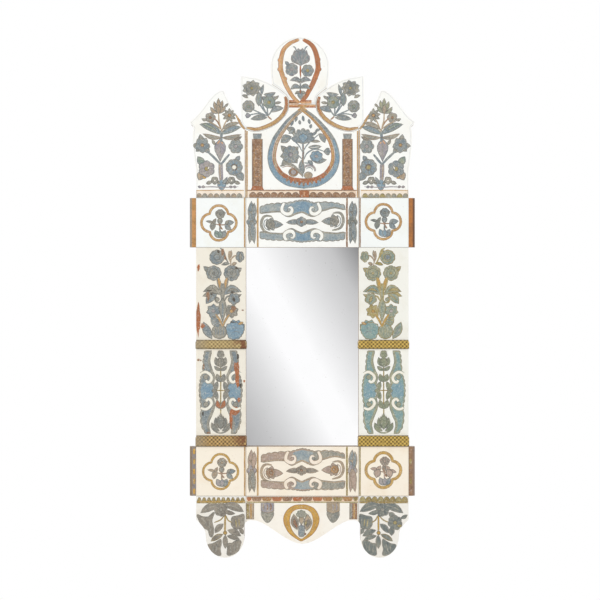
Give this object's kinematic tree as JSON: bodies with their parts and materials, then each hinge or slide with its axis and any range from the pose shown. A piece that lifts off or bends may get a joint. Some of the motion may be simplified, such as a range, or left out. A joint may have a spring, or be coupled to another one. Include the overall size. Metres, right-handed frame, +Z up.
{
  "type": "wall mirror",
  "caption": "Tall wall mirror in a shaped wooden frame clad with panes of white reverse-painted glass with flowers and scrolls, with a lobed crest, gilt bands and wire hanging rings.",
  "frame": {"origin": "middle of the back face of the top rail, on the plane of the frame's back", "axes": "+Z up, +X to the right of someone facing the mirror, +Y from the front towards the wall"},
  "size_m": [0.4166, 0.0333, 0.9635],
  "materials": {
    "frame_wood": "old, bare",
    "peg_wood": "bare",
    "painted_glass": "clear glass painted on its back, so opaque and glossy",
    "strip_paint": "painted, worn",
    "gilt": "gilded gesso on wood, stippled",
    "silvered_glass": "polished",
    "backing": "thin bare board",
    "iron": "dark drawn wire"
  },
  "bodies": {
    "frame": {"apron_board": "frame_wood", "apron_dowel_left": "peg_wood", "apron_dowel_right": "peg_wood", "apron_pane": "painted_glass", "backing_board": "backing", "bottom_corner_pane_left": "painted_glass", "bottom_corner_pane_right": "painted_glass", "bottom_end_strip_left": "strip_paint", "bottom_end_strip_right": "strip_paint", "bottom_rail": "frame_wood", "bottom_rail_pane": "painted_glass", "brad_bottom": "iron", "brad_left_lower": "iron", "brad_left_upper": "iron", "brad_right_lower": "iron", "brad_right_upper": "iron", "brad_top": "iron", "corner_peg_bottom_left": "peg_wood", "corner_peg_bottom_right": "peg_wood", "corner_peg_top_left": "peg_wood", "corner_peg_top_right": "peg_wood", "crest_board": "frame_wood", "crest_centre_pane": "painted_glass", "crest_dowel_left": "peg_wood", "crest_dowel_right": "peg_wood", "crest_lobe_pane": "painted_glass", "ear_pane_left": "painted_glass", "ear_pane_right": "painted_glass", "foot_pane_left": "painted_glass", "foot_pane_right": "painted_glass", "lower_band_left": "gilt", "lower_band_right": "gilt", "mid_band_left": "gilt", "mid_band_right": "gilt", "mirror_plate": "silvered_glass", "ring_staple_left": "iron", "ring_staple_right": "iron", "shoulder_pane_left": "painted_glass", "shoulder_pane_right": "painted_glass", "stile_left": "frame_wood", "stile_lower_pane_left": "painted_glass", "stile_lower_pane_right": "painted_glass", "stile_right": "frame_wood", "stile_upper_pane_left": "painted_glass", "stile_upper_pane_right": "painted_glass", "top_corner_pane_left": "painted_glass", "top_corner_pane_right": "painted_glass", "top_end_strip_left": "strip_paint", "top_end_strip_right": "strip_paint", "top_rail": "frame_wood", "top_rail_pane": "painted_glass"},
    "ring_left": {"hanging_ring_left": "iron"},
    "ring_right": {"hanging_ring_right": "iron"}
  },
  "joints": [
    {"name": "ring_swing_left", "type": "hinge", "parent": "frame", "child": "ring_left", "pos_m": [-0.1505, 0.0021, -0.0955], "axis": [1, 0, 0], "range_deg": [0, 180]},
    {"name": "ring_swing_right", "type": "hinge", "parent": "frame", "child": "ring_right", "pos_m": [0.1505, 0.0021, -0.0955], "axis": [1, 0, 0], "range_deg": [0, 180]}
  ]
}
